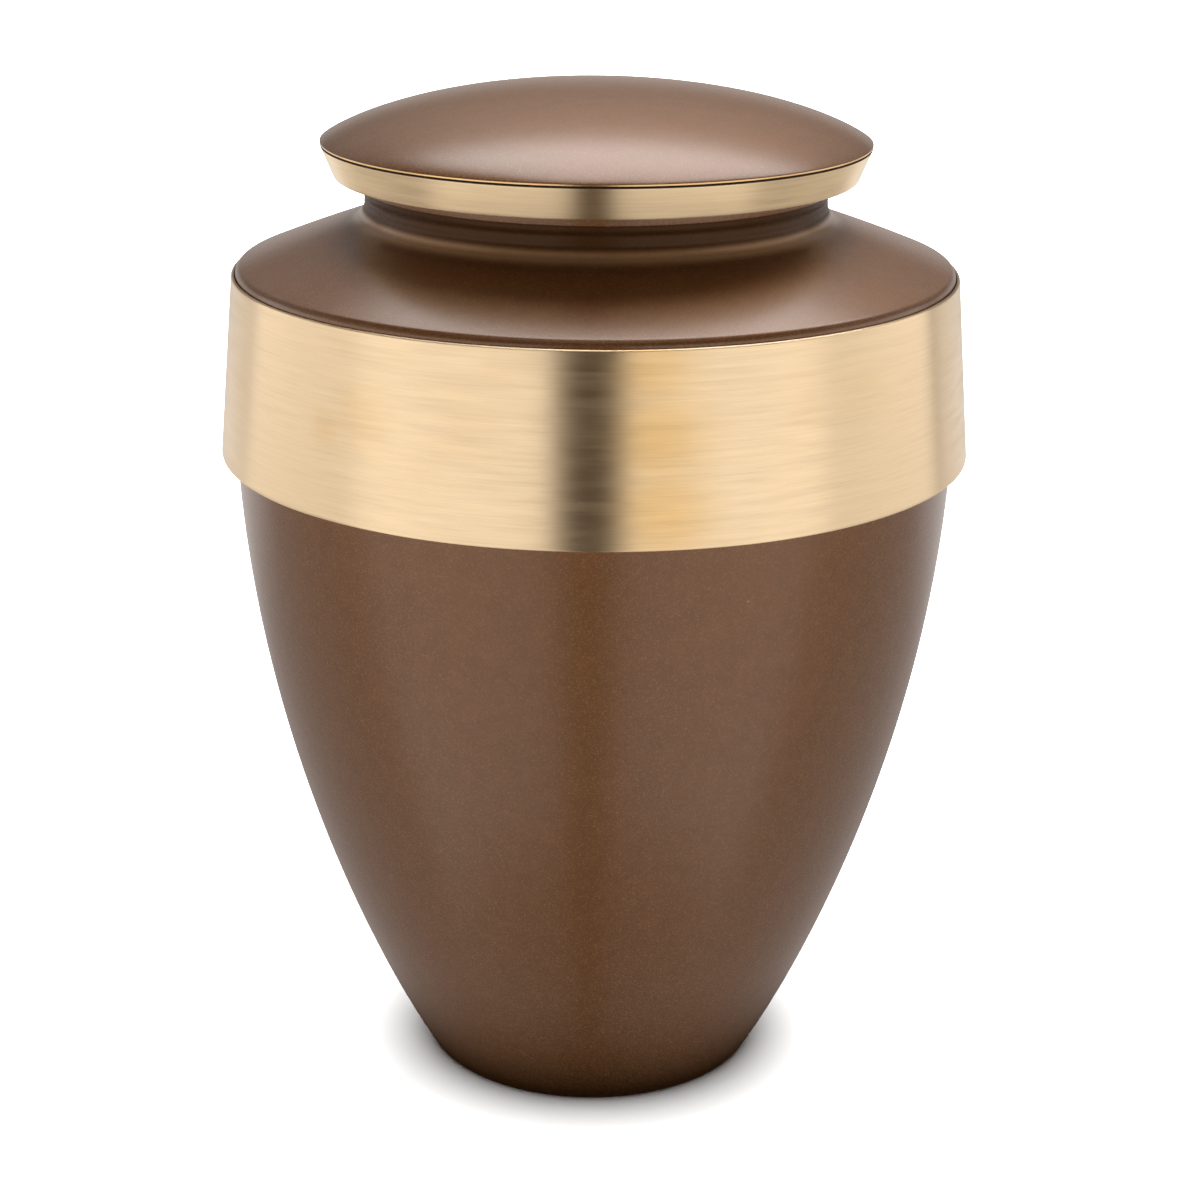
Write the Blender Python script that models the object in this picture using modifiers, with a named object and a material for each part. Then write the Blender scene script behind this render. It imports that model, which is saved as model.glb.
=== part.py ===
"""Cremation urn: a hollow turned vessel, a brass band round its shoulder, and a lid that lifts off.

Metres, +Z up. The origin is the centre of the underside, and every piece is turned about Z.
A profile is a list of (radius, height) points. It starts inside and runs down its outer side.
"""

import math

import bpy

MM = 0.001

# Fits, and how finely the turned pieces are faceted
SEAT_GAP = 0.3 * MM
FACETS = 56
SHARP_ANGLE = 30.0
MERGE_DISTANCE = 0.001 * MM

# Vessel: the foot and its flat underside
FOOT_RADIUS = 41.2 * MM
FOOT_BEVEL = 0.7 * MM
FOOT_RING_WIDTH = 8.0 * MM
FOOT_RECESS = 1.2 * MM
FLOOR_THICKNESS = 3.0 * MM

# Vessel: the bowl, from the foot to the band's lower edge
WALL = 2.0 * MM
BOWL_HEIGHT = 155.8 * MM
BOWL_TOP_RADIUS = 85.4 * MM
BOWL_TOP_LEAN = 2.1
BOWL_TOP_PULL = 81.8 * MM
BOWL_FOOT_LEAN = 34.0
BOWL_FOOT_PULL = 10.0 * MM

# Vessel: the shoulder, a shallow cone that rounds over to the wall behind the band
SHOULDER_RADIUS = 84.4 * MM
SHOULDER_ROUNDING = 6.0 * MM
SHOULDER_SLOPE = 16.1

# Vessel: the neck, which leans out from its waist to a low collar
NECK_WAIST_RADIUS = 54.0 * MM
NECK_COVE = 3.5 * MM
NECK_LEAN = 13.0
NECK_HEIGHT = 6.2 * MM
NECK_WALL = 2.5 * MM
COLLAR_HEIGHT = 2.3 * MM
COLLAR_STEP = 0.6 * MM

# Band: a tapered brass ring, thin at its top edge and proud of the bowl at its lower edge
BAND_HEIGHT = 42.3 * MM
BAND_TOP_THICKNESS = 0.7 * MM
BAND_FOOT_THICKNESS = 3.3 * MM
BAND_TOP_ROUNDING = 0.4 * MM
BAND_FOOT_BEVEL = 0.3 * MM

# Lid rim: a flaring brass ring on a flange, with a plug that drops into the neck
RIM_OVERHANG = 5.7 * MM
RIM_HEIGHT = 7.3 * MM
RIM_FLARE = 3.0 * MM
RIM_WALL = 2.7 * MM
RIM_FLANGE = 2.5 * MM
PLUG_CLEARANCE = 0.4 * MM
PLUG_WALL = 2.5 * MM
PLUG_DEPTH = 9.0 * MM

# Lid dome: a shallow cap of even thickness, seated on the rim
DOME_RISE = 13.0 * MM
DOME_EDGE = 0.4 * MM
DOME_WALL = 2.0 * MM
DOME_CROWN_PULL = 44.5 * MM
DOME_EDGE_PULL = 1.8 * MM
DOME_EDGE_SLOPE = 63.0

# Places worked out from the sizes above
slope = math.radians(SHOULDER_SLOPE)
band_bottom = BOWL_HEIGHT
band_top = band_bottom + BAND_HEIGHT
shoulder_arc_centre = (SHOULDER_RADIUS - SHOULDER_ROUNDING, band_top)
bore_radius = NECK_WAIST_RADIUS - NECK_WALL


def shoulder_height(radius):
    """Height of the shoulder's cone at a radius, carried on inwards past the neck."""
    centre_radius, centre_height = shoulder_arc_centre
    cone_start = centre_radius + SHOULDER_ROUNDING * math.sin(slope)
    cone_start_height = centre_height + SHOULDER_ROUNDING * math.cos(slope)
    return cone_start_height + (cone_start - radius) * math.tan(slope)


cove_radius = NECK_WAIST_RADIUS + NECK_COVE
cove_centre = (cove_radius, shoulder_height(cove_radius) + NECK_COVE / math.cos(slope))
neck_top = cove_centre[1] + NECK_HEIGHT
collar_bottom = neck_top - COLLAR_HEIGHT
rim_bottom = neck_top + SEAT_GAP
rim_top = rim_bottom + RIM_HEIGHT
dome_bottom = rim_top + SEAT_GAP


def arc(centre, radius, start, end, steps):
    """Points on an arc, from one angle to another in degrees."""
    angles = [math.radians(start + (end - start) * step / steps) for step in range(steps + 1)]
    return [(centre[0] + radius * math.cos(a), centre[1] + radius * math.sin(a)) for a in angles]


def bezier(start, start_handle, end_handle, end, steps):
    """Points on a cubic Bezier curve."""
    points = []
    for step in range(steps + 1):
        t = step / steps
        weights = ((1 - t) ** 3, 3 * t * (1 - t) ** 2, 3 * t**2 * (1 - t), t**3)
        knots = (start, start_handle, end_handle, end)
        points.append(tuple(sum(w * knot[axis] for w, knot in zip(weights, knots)) for axis in (0, 1)))
    return points


def offset(points, distance):
    """The same curve moved sideways, to the right of the way it runs: inwards for an outer side."""
    moved = []
    for index, point in enumerate(points):
        before = points[max(index - 1, 0)]
        after = points[min(index + 1, len(points) - 1)]
        along = (after[0] - before[0], after[1] - before[1])
        length = math.hypot(*along)
        moved.append((point[0] + distance * along[1] / length, point[1] - distance * along[0] / length))
    return moved


def above(points, height):
    """A falling curve down to a height, ending on it."""
    kept = [points[0]]
    for before, after in zip(points, points[1:]):
        if after[1] <= height:
            share = (before[1] - height) / (before[1] - after[1])
            kept.append((before[0] + share * (after[0] - before[0]), height))
            break
        kept.append(after)
    return kept


def shoulder_and_bowl(arc_steps, bowl_steps):
    """The outer side from the start of the shoulder's rounding down to the foot's bevel."""
    rounding = arc(shoulder_arc_centre, SHOULDER_ROUNDING, 90.0 - SHOULDER_SLOPE, 0.0, arc_steps)
    top_lean = math.radians(BOWL_TOP_LEAN)
    foot_lean = math.radians(BOWL_FOOT_LEAN)
    bowl = bezier(
        (BOWL_TOP_RADIUS, band_bottom),
        (BOWL_TOP_RADIUS - BOWL_TOP_PULL * math.sin(top_lean), band_bottom - BOWL_TOP_PULL * math.cos(top_lean)),
        (FOOT_RADIUS + BOWL_FOOT_PULL * math.sin(foot_lean), FOOT_BEVEL + BOWL_FOOT_PULL * math.cos(foot_lean)),
        (FOOT_RADIUS, FOOT_BEVEL),
        bowl_steps,
    )
    return rounding + bowl


def neck_side():
    """The neck's outer side: collar, leaning wall and cove, down to where the cove meets the shoulder."""
    cove = arc(cove_centre, NECK_COVE, 180.0 - NECK_LEAN, 270.0 - SHOULDER_SLOPE, 6)
    lean_start, lean_height = cove[0]
    under_collar = lean_start + (collar_bottom - lean_height) * math.tan(math.radians(NECK_LEAN))
    collar = under_collar + COLLAR_STEP
    return [(collar, neck_top), (collar, collar_bottom), (under_collar, collar_bottom)] + cove


def vessel_profile():
    """From the middle of the floor's upper side, up the inner wall, over the neck, and down outside."""
    floor_top = FOOT_RECESS + FLOOR_THICKNESS
    inner_side = above(offset(shoulder_and_bowl(4, 9), WALL), floor_top)
    bore = [(bore_radius, shoulder_height(bore_radius) - WALL / math.cos(slope)), (bore_radius, neck_top)]
    recess_radius = FOOT_RADIUS - FOOT_BEVEL - FOOT_RING_WIDTH
    underside = [
        (FOOT_RADIUS - FOOT_BEVEL, 0.0),
        (recess_radius, 0.0),
        (recess_radius - FOOT_RECESS, FOOT_RECESS),
        (0.0, FOOT_RECESS),
    ]
    return [(0.0, floor_top)] + inner_side[::-1] + bore + neck_side() + shoulder_and_bowl(7, 14) + underside


def band_profile():
    """A ring whose inner side follows the vessel's wall, with its top corner rounded."""
    inner_top = SHOULDER_RADIUS + SEAT_GAP
    inner_bottom = BOWL_TOP_RADIUS + SEAT_GAP
    outer_top = inner_top + BAND_TOP_THICKNESS
    outer_bottom = inner_bottom + BAND_FOOT_THICKNESS
    corner = (outer_top - BAND_TOP_ROUNDING, band_top - BAND_TOP_ROUNDING)
    return [
        (inner_top, band_top),
        *arc(corner, BAND_TOP_ROUNDING, 90.0, 0.0, 3),
        (outer_bottom, band_bottom + BAND_FOOT_BEVEL),
        (outer_bottom - BAND_FOOT_BEVEL, band_bottom),
        (inner_bottom, band_bottom),
    ]


def rim_profile():
    """Section of the lid's rim: flange, flaring wall and plug."""
    collar_radius = neck_side()[0][0]
    outer_bottom = collar_radius + RIM_OVERHANG
    outer_top = outer_bottom + RIM_FLARE
    flange_top = rim_bottom + RIM_FLANGE
    wall_foot = outer_bottom + RIM_FLARE * RIM_FLANGE / RIM_HEIGHT - RIM_WALL
    plug_outer = bore_radius - PLUG_CLEARANCE
    plug_inner = plug_outer - PLUG_WALL
    plug_bottom = rim_bottom - PLUG_DEPTH
    return [
        (plug_inner, flange_top),
        (wall_foot, flange_top),
        (outer_top - RIM_WALL, rim_top),
        (outer_top, rim_top),
        (outer_bottom, rim_bottom),
        (plug_outer, rim_bottom),
        (plug_outer, plug_bottom),
        (plug_inner, plug_bottom),
    ]


def dome_profile():
    """From the top of the cap down its outer side, across its seat and back up inside."""
    radius = neck_side()[0][0] + RIM_OVERHANG + RIM_FLARE
    edge_top = dome_bottom + DOME_EDGE
    crown = dome_bottom + DOME_RISE
    edge_slope = math.radians(DOME_EDGE_SLOPE)
    handle = (radius - DOME_EDGE_PULL * math.cos(edge_slope), edge_top + DOME_EDGE_PULL * math.sin(edge_slope))

    def cap(steps):
        return bezier((0.0, crown), (DOME_CROWN_PULL, crown), handle, (radius, edge_top), steps)

    inner_side = above(offset(cap(7), DOME_WALL) + [(radius - DOME_WALL, 0.0)], dome_bottom)
    inner_side[0] = (0.0, crown - DOME_WALL)
    return cap(11) + [(radius, dome_bottom)] + inner_side[::-1]


def finish(name, colour, roughness, metallic):
    """A material for one piece."""
    material = bpy.data.materials.new(name)
    material.use_nodes = True
    shader = material.node_tree.nodes["Principled BSDF"]
    shader.inputs["Base Color"].default_value = (*colour, 1.0)
    shader.inputs["Roughness"].default_value = roughness
    shader.inputs["Metallic"].default_value = metallic
    return material


def turned(name, profile, closed, material):
    """Turns a profile about Z. An open profile starts and ends on the axis."""
    count = len(profile)
    edges = [(index, index + 1) for index in range(count - 1)]
    if closed:
        edges.append((count - 1, 0))
    outline = bpy.data.meshes.new(name + "_outline")
    outline.from_pydata([(radius, 0.0, height) for radius, height in profile], edges, [])
    piece = bpy.data.objects.new(name, outline)
    urn.objects.link(piece)

    screw = piece.modifiers.new("turned", "SCREW")
    screw.steps = FACETS
    screw.render_steps = FACETS
    screw.use_merge_vertices = True
    screw.merge_threshold = MERGE_DISTANCE
    evaluated = piece.evaluated_get(bpy.context.evaluated_depsgraph_get())
    piece.data = bpy.data.meshes.new_from_object(evaluated)
    piece.modifiers.clear()
    bpy.data.meshes.remove(outline)

    piece.data.name = name
    piece.data.materials.append(material)
    piece.data.shade_smooth()
    piece.data.set_sharp_from_angle(angle=math.radians(SHARP_ANGLE))
    return piece


for leftover in list(bpy.data.objects):
    bpy.data.objects.remove(leftover)
urn = bpy.data.collections.new("cremation_urn")
bpy.context.scene.collection.children.link(urn)

BRONZE = (0.19, 0.105, 0.05)
BRASS = (0.80, 0.58, 0.30)

turned("vessel", vessel_profile(), False, finish("vessel_paint", BRONZE, 0.38, 0.7))
turned("band", band_profile(), True, finish("band_brass", BRASS, 0.3, 1.0))
turned("lid_rim", rim_profile(), True, finish("lid_rim_brass", BRASS, 0.3, 1.0))
turned("lid_dome", dome_profile(), False, finish("lid_dome_paint", BRONZE, 0.38, 0.7))
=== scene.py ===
"""The looks of a cremation urn, built round its packed frame: painted vessel, brass band and lift-off lid.

Lengths are in metres and +Z is up. Every piece is turned about Z, and stands where the frame has its node.
"""

import math

import bmesh
import bpy
from bpy.props import FloatProperty, FloatVectorProperty, IntProperty, PointerProperty
from mathutils import Matrix, Vector
from mathutils.geometry import interpolate_bezier


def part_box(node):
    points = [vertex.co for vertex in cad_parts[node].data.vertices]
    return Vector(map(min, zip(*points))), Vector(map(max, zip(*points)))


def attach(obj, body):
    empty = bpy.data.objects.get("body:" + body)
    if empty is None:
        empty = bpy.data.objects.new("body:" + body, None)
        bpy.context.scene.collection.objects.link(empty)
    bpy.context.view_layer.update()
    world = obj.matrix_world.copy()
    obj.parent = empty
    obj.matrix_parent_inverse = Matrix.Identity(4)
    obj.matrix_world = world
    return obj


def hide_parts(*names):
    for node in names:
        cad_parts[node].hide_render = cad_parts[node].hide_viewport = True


bl_info = {
    "name": "Cremation Urn",
    "version": (1, 0, 0),
    "blender": (4, 5, 0),
    "location": "View3D > Sidebar > Urn",
    "description": "Builds a bronze-painted cremation urn with a brass band and a domed lid",
    "category": "Add Mesh",
}

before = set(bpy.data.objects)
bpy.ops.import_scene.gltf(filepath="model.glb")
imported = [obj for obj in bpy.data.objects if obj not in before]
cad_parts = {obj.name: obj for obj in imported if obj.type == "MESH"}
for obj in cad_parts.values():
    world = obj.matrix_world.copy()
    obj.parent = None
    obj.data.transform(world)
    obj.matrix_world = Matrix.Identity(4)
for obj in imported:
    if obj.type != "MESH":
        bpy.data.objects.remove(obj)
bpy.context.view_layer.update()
vessel_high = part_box("vessel")[1]
band_low, band_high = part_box("band")
rim_low, rim_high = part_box("lid_rim")
dome_low, dome_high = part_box("lid_dome")

BODY = "root"
MM = 0.001

# Meshes
MERGE_DISTANCE = 1e-6
RING_TOLERANCE = 1e-5
FACING_TOLERANCE = 1e-6
SHARP_ANGLE = math.radians(35)
# A support point stands this many arrises from each end of a straight span
# that is longer than this many of such steps
SUPPORT = 2.5
SHORTEST_SPAN = 4

# Sockets of shader groups, and of a Mix node that mixes colours
NUMBER = "NodeSocketFloat"
VECTOR = "NodeSocketVector"
MIX_FIRST = 6
MIX_SECOND = 7
MIX_RESULT = 2
BLACK = (0.0, 0.0, 0.0, 1.0)
WHITE = (1.0, 1.0, 1.0, 1.0)

# Bronze paint
PAINT_CLOUD = 4.0 * MM
PAINT_CLOUD_RANGE = (0.25, 0.75)
DUST_SPACING = 34.0 * MM
DUST_SIZE = 0.35 * MM
DUST_SHOW = 0.5
FLAKE_TIP = 0.12
FLAKE_CONTRAST = 5.0
FLAKE_SHOW = 0.45
PAINT_ROUGHNESS_SPREAD = 0.05
PEEL_SIZE = 1.1 * MM
PEEL_DEPTH = 0.04 * MM
PEEL_STRENGTH = 0.2
PAINT_COAT = 0.8
COAT_ROUGHNESS = 0.26

# Painted light in the neck: a ring of painted highlight in the neck's hollow, and painted shade with less
# clear coat above it. The painted highlight ends below the hollow's middle, by a share of its radius
PAINTED_HIGHLIGHT_SHOW = 0.6
PAINTED_HIGHLIGHT_DROP = 0.4
PAINTED_SHADE_SHOW = 0.8
PAINTED_SHADE_COAT = 0.15
NECK_FADE = 0.8 * MM

# Brushed brass
LINE_RUN = 20.0 * MM
LINE_DEPTH = 0.02 * MM
LINE_STRENGTH = 0.3
BROAD_SPREAD = 7.0
BROAD_RELIEF = 1.5
BROAD_RANGE = (0.35, 0.65)
BROAD_SHOW = 0.10
FINE_RANGE = (0.3, 0.6)
FINE_SHOW = 0.14
BRASS_ROUGHNESS_SPREAD = 0.03
BRASS_ROUGHNESS_RANGE = (0.3, 0.7)
BRUSHING = 0.95
BRUSHING_TURN = 0.25
BRASS_CLOUD = 28.0 * MM
CLOUD_STAIN_RANGE = (0.5, 0.8)
CLOUD_STAIN_SHOW = 0.2
PIT_SPACING = 40.0 * MM
PIT_SIZE = 0.25 * MM
PIT_SHOW = 0.8
PIT_RELIEF = -3.0
# Yellow spots that stand out on the band, each as (centre, reach, strength). The first three are painted
# warm sheen beside the dark stripe that the band mirrors on the camera's side; the last two are fainter
# spots further left
STAIN_AND_SHEEN_SPOTS = (
    ((0.012, -0.088, 0.194), 0.017, 0.9),
    ((0.013, -0.088, 0.180), 0.019, 1.0),
    ((0.014, -0.088, 0.164), 0.018, 1.0),
    ((-0.050, -0.072, 0.180), 0.012, 0.35),
    ((-0.058, -0.066, 0.176), 0.007, 0.4),
)
# The clouds that break them up, and the share of a spot's strength that is left where they are thinnest
PATCHY_RANGE = (0.2, 0.7)
PATCHY_LEAST = 0.7

# Painted shade in the seam between dome and rim, unevenly dark
SEAM_SHADE_UNEVENNESS = 0.3
SEAM_ROUGHNESS = 0.8

# Stage. The urn mirrors the shade on the floor out to the first radius, and none past the second
FLOOR_HALF_WIDTH = 20.0
FLOOR_COLOUR = (0.4, 0.4, 0.4, 1.0)
FLOOR_SHADE_INNER = 40.0 * MM
FLOOR_SHADE_OUTER = 73.0 * MM
WASH_ANGLE = math.radians(60)


def length(name, default, description):
    """A length that a user can change, in metres."""
    return FloatProperty(
        name=name, description=description, default=default, min=0.0, precision=5, unit="LENGTH"
    )


def angle(name, degrees, description):
    """An angle that a user can change."""
    return FloatProperty(name=name, description=description, default=math.radians(degrees), subtype="ANGLE")


def share(name, default, description):
    """A number from 0 to 1 that a user can change."""
    return FloatProperty(
        name=name, description=description, default=default, min=0.0, max=1.0, subtype="FACTOR"
    )


def colour(name, default, description):
    """A linear colour that a user can change."""
    return FloatVectorProperty(
        name=name, description=description, default=default, size=3, min=0.0, max=1.0, subtype="COLOR"
    )


def brightness(name, default, description):
    """The brightness of a light that a user can change."""
    return FloatProperty(name=name, description=description, default=default, min=0.0)


class UrnVesselSettings(bpy.types.PropertyGroup):
    """Sizes of the hollow vessel."""

    foot_radius: length("Foot radius", 41.2 * MM, "Radius of the foot, above its rounded edge")
    foot_rounding: length("Foot rounding", 0.7 * MM, "Rounding where the bowl meets the underside")
    foot_ring: length("Foot ring", 8.0 * MM, "Width of the flat ring that the urn stands on")
    foot_recess: length("Foot recess", 1.2 * MM, "Depth of the recess inside the foot ring")
    floor: length("Floor", 3.0 * MM, "Thickness of the vessel's floor")
    wall: length("Wall", 2.0 * MM, "Thickness of the vessel's wall")
    bowl_height: length("Bowl height", band_low.z, "Height of the band's lower edge, where the bowl ends")
    bowl_radius: length("Bowl radius", vessel_high.x, "Radius of the bowl at the band's lower edge")
    bowl_top_lean: angle("Bowl top lean", 2.1, "Lean of the bowl's side from upright, at its top")
    bowl_top_pull: length("Bowl top pull", 81.8 * MM, "How far the bowl keeps the direction of its top")
    bowl_foot_lean: angle("Bowl foot lean", 34.0, "Lean of the bowl's side from upright, at the foot")
    bowl_foot_pull: length("Bowl foot pull", 10.0 * MM, "How far the bowl keeps the direction of its foot")
    shoulder_height: length("Shoulder height", band_high.z, "Height where the shoulder's rounding ends")
    shoulder_radius: length("Shoulder radius", 84.4 * MM, "Radius of the shoulder's edge")
    shoulder_rounding: length("Shoulder rounding", 2.0 * MM, "Rounding of the shoulder's edge")
    shoulder_wall: length("Shoulder wall", 0.1 * MM, "Height of the upright strip under that rounding")
    shoulder_edge_slope: angle("Shoulder edge slope", 22.5, "Fall of the shoulder at its edge")
    shoulder_edge_pull: length("Shoulder edge pull", 6.0 * MM, "How far it keeps the fall of its edge")
    shoulder_top: length("Shoulder top", 209.5 * MM, "Height where the neck's hollow begins")
    shoulder_top_slope: angle("Shoulder top slope", 18.0, "Fall of the shoulder beside the neck")
    shoulder_top_pull: length("Shoulder top pull", 10.0 * MM, "How far it keeps the fall of its top")
    neck_waist: length("Neck waist", 54.0 * MM, "Outer radius of the neck where it is narrowest")
    neck_cove: length("Neck cove", 5.5 * MM, "Radius of the hollow between neck and shoulder")
    neck_lean: angle("Neck lean", 13.0, "Outward lean of the neck above its waist")
    neck_top: length("Neck top", vessel_high.z, "Height of the neck's mouth")
    neck_wall: length("Neck wall", 2.5 * MM, "Thickness of the neck at its waist")
    collar_height: length("Collar height", 2.3 * MM, "Height of the collar under the lid")
    collar_step: length("Collar step", 0.6 * MM, "How far the collar stands out from the neck")
    collar_arris: length("Collar arris", 0.3 * MM, "Rounding of the collar's and the mouth's edges")
    ring_pitch: length("Ring pitch", 2.27 * MM, "Distance between the faint turned rings on the neck")
    ring_depth: length("Ring depth", 0.05 * MM, "Height of the turned rings on the neck")


class UrnBandSettings(bpy.types.PropertyGroup):
    """Sizes of the brass band."""

    clearance: length("Clearance", 0.3 * MM, "Gap between the band and the vessel's wall")
    bottom_radius: length("Bottom radius", band_high.x, "Outer radius at the band's lower edge")
    top_thickness: length("Top thickness", 0.7 * MM, "Thickness of the band at its top edge")
    top_rounding: length("Top rounding", 0.4 * MM, "Rounding of the top edge")
    arris: length("Arris", 0.3 * MM, "Rounding of the lower edge")


class UrnLidSettings(bpy.types.PropertyGroup):
    """Sizes of the lid's rim and dome."""

    rim_bottom: length("Rim bottom", vessel_high.z + 0.3 * MM, "Height of the rim's flat underside")
    rim_radius: length("Rim radius", rim_high.x, "Outer radius of the rim at its top")
    rim_flare: length("Rim flare", 3.0 * MM, "How far the rim widens from its underside to its top")
    rim_wall: length("Rim wall", 2.7 * MM, "Thickness of the rim's flaring wall")
    rim_flange: length("Rim flange", 2.5 * MM, "Thickness of the flange that rests on the neck")
    rim_arris: length("Rim arris", 0.25 * MM, "Rounding of the rim's edges")
    seam_depth: length("Seam depth", 0.175 * MM, "How far the dark seam reaches down from the rim's top")
    plug_clearance: length("Plug clearance", 0.4 * MM, "Gap between the plug and the neck's bore")
    plug_wall: length("Plug wall", 2.5 * MM, "Thickness of the plug that drops into the neck")
    dome_radius: length("Dome radius", dome_high.x, "Outer radius of the dome")
    dome_edge: length("Dome edge", 0.4 * MM, "Height of the bare edge under the dome's paint")
    dome_wall: length("Dome wall", 2.0 * MM, "Thickness of the dome")
    dome_crown_pull: length("Crown pull", 44.5 * MM, "How far the dome stays level round its middle")
    dome_edge_pull: length("Edge pull", 1.0 * MM, "How far the dome keeps the fall of its edge")
    dome_edge_slope: angle("Edge slope", 55.0, "Fall of the dome at its edge")
    dome_arris: length("Dome arris", 0.1 * MM, "Rounding of the dome's bare edge")


class UrnFinishSettings(bpy.types.PropertyGroup):
    """Colours of the finishes, and how finely the pieces are turned."""

    turn_steps: IntProperty(name="Turn steps", description="Flats round each piece", default=256, min=24)
    paint_dark: colour("Paint, dark", (0.146, 0.057, 0.014), "The darker clouds in the paint")
    paint_light: colour("Paint, light", (0.165, 0.065, 0.018), "The lighter clouds in the paint")
    paint_flake: colour("Paint, flake", (0.36, 0.21, 0.10), "The brightest flakes in the paint")
    # Painted shade: the dark colour on the neck above its hollow, under the lid
    painted_neck_shade: colour("Paint, thin", (0.035, 0.014, 0.004), "The thin paint above the neck's hollow")
    # Painted highlight: the light colour in the neck's hollow
    painted_cove_highlight: colour("Paint, pooled", (0.40, 0.25, 0.13), "The flake that gathers in the neck's hollow")
    dust: colour("Dust", (0.55, 0.47, 0.40), "Specks of dust on the paint")
    paint_roughness: share("Paint roughness", 0.62, "Roughness of the paint under its clear coat")
    flake_size: length("Flake size", 0.22 * MM, "Size of the flakes")
    brass: colour("Brass", (0.86, 0.66, 0.42), "The brushed brass")
    rim_brass: colour("Rim brass", (0.95, 0.74, 0.46), "The brighter brass of the lid's rim")
    bare_edge: colour("Bare edge", (0.92, 0.60, 0.28), "The thin golden edge under the dome's paint")
    # Painted shade in the seam between dome and rim
    seam: colour("Seam", (0.03, 0.018, 0.012), "The dark seam between dome and rim")
    # Colour of the faint cloudy stains, and of the painted warm sheen beside the band's dark stripe
    brass_stain_and_sheen: colour("Brass stain", (0.76, 0.49, 0.20), "The faint yellow stains on the brass")
    brass_dark: colour("Brass, dark", (0.48, 0.30, 0.15), "The bottom of the turned lines")
    pit: colour("Pit", (0.16, 0.08, 0.03), "Small pits in the brass")
    band_roughness: share("Band roughness", 0.35, "Roughness of the band")
    rim_roughness: share("Rim roughness", 0.37, "Roughness of the lid's rim")
    line_pitch: length("Line pitch", 0.22 * MM, "Distance between the finest turned lines")


class UrnStageSettings(bpy.types.PropertyGroup):
    """The camera and the light."""

    lens: FloatProperty(name="Lens", description="Focal length in millimetres", default=78.0, min=1.0)
    distance: length("Distance", 640.3 * MM, "From the camera to the point it looks at")
    pitch: angle("Pitch", 18.74, "How far the camera looks down")
    roll: angle("Roll", 0.5, "How far the picture is turned")
    aim_height: length("Aim height", 115.2 * MM, "Height of the point that the camera looks at")
    aim_side: length("Aim side", 1.7 * MM, "How far that point lies to the right of the urn's axis")
    side_light: brightness("Side light", 1.68, "Brightness of the panels left and right")
    upper_light: brightness("Upper light", 0.36, "Brightness of the walls above the others")
    low_light: brightness("Low light", 0.82, "Brightness of the table in front")
    floor_glow: brightness("Floor glow", 0.47, "Brightness of the rest of the table")
    top_light: brightness("Top light", 5.8, "Brightness of the panel above and behind")
    back_light: brightness("Back light", 0.68, "Brightness of the backdrop")
    front_light: brightness("Front light", 0.7, "Brightness of the ceiling in front")
    room_light: colour("Room light", (0.035, 0.018, 0.008), "Warm light of the rest of the room")
    floor_light: brightness("Floor light", 25.0, "Brightness of the light on the floor")


def arc(centre, radius, start, end, count):
    """Points on an arc, from one angle to another in degrees."""
    angles = [math.radians(start + (end - start) * step / count) for step in range(count + 1)]
    return [Vector((centre[0] + radius * math.cos(a), centre[1] + radius * math.sin(a))) for a in angles]


def offset(points, distance):
    """The same curve moved sideways, to the right of the way it runs."""
    moved = []
    for index, point in enumerate(points):
        along = points[min(index + 1, len(points) - 1)] - points[max(index - 1, 0)]
        moved.append(point + Vector((along.y, -along.x)).normalized() * distance)
    return moved


def above(points, height):
    """A falling curve down to a height, ending on it."""
    kept = [points[0]]
    for before, after in zip(points, points[1:]):
        if after.y <= height:
            kept.append(before.lerp(after, (before.y - height) / (before.y - after.y)))
            break
        kept.append(after)
    return kept


def supported(points, margin, closed):
    """Adds a point near both ends of each long straight span, so that it stays flat in smooth shading."""
    ends = points[1:] + points[:1] if closed else points[1:]
    filled = []
    for start, end in zip(points, ends):
        filled.append(start)
        span = end - start
        if span.length > SHORTEST_SPAN * margin:
            step = span.normalized() * margin
            filled += [start + step, end - step]
    return filled if closed else filled + points[-1:]


def turned_piece(context, name, outline, closed, crisp_rings, arris):
    """Spins an outline of (radius, height) points about Z, and rounds its crisp rings."""
    outline = supported([Vector(point) for point in outline], SUPPORT * arris, closed)
    shape = bmesh.new()
    corners = [shape.verts.new((point.x, 0.0, point.y)) for point in outline]
    sides = [shape.edges.new(pair) for pair in zip(corners, corners[1:])]
    if closed:
        sides.append(shape.edges.new((corners[-1], corners[0])))
    bmesh.ops.spin(
        shape,
        geom=corners + sides,
        cent=(0.0, 0.0, 0.0),
        axis=(0.0, 0.0, 1.0),
        dvec=(0.0, 0.0, 0.0),
        angle=math.tau,
        steps=context.scene.urn_finish.turn_steps,
        use_merge=True,
    )
    bmesh.ops.remove_doubles(shape, verts=shape.verts, dist=MERGE_DISTANCE)
    bmesh.ops.recalc_face_normals(shape, faces=shape.faces)

    def on_ring(vertex):
        radius = vertex.co.xy.length
        return any(abs(radius - r) + abs(vertex.co.z - z) < RING_TOLERANCE for r, z in crisp_rings)

    rings = [edge for edge in shape.edges if all(on_ring(vertex) for vertex in edge.verts)]
    bmesh.ops.bevel(
        shape,
        geom=rings,
        offset=arris,
        segments=3,
        profile=0.5,
        affect="EDGES",
        material=-1,
        clamp_overlap=True,
    )
    mesh = bpy.data.meshes.new(name)
    shape.to_mesh(mesh)
    shape.free()
    mesh.shade_smooth()
    mesh.set_sharp_from_angle(angle=SHARP_ANGLE)
    piece = bpy.data.objects.new(name, mesh)
    context.collection.objects.link(piece)
    return piece


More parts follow.
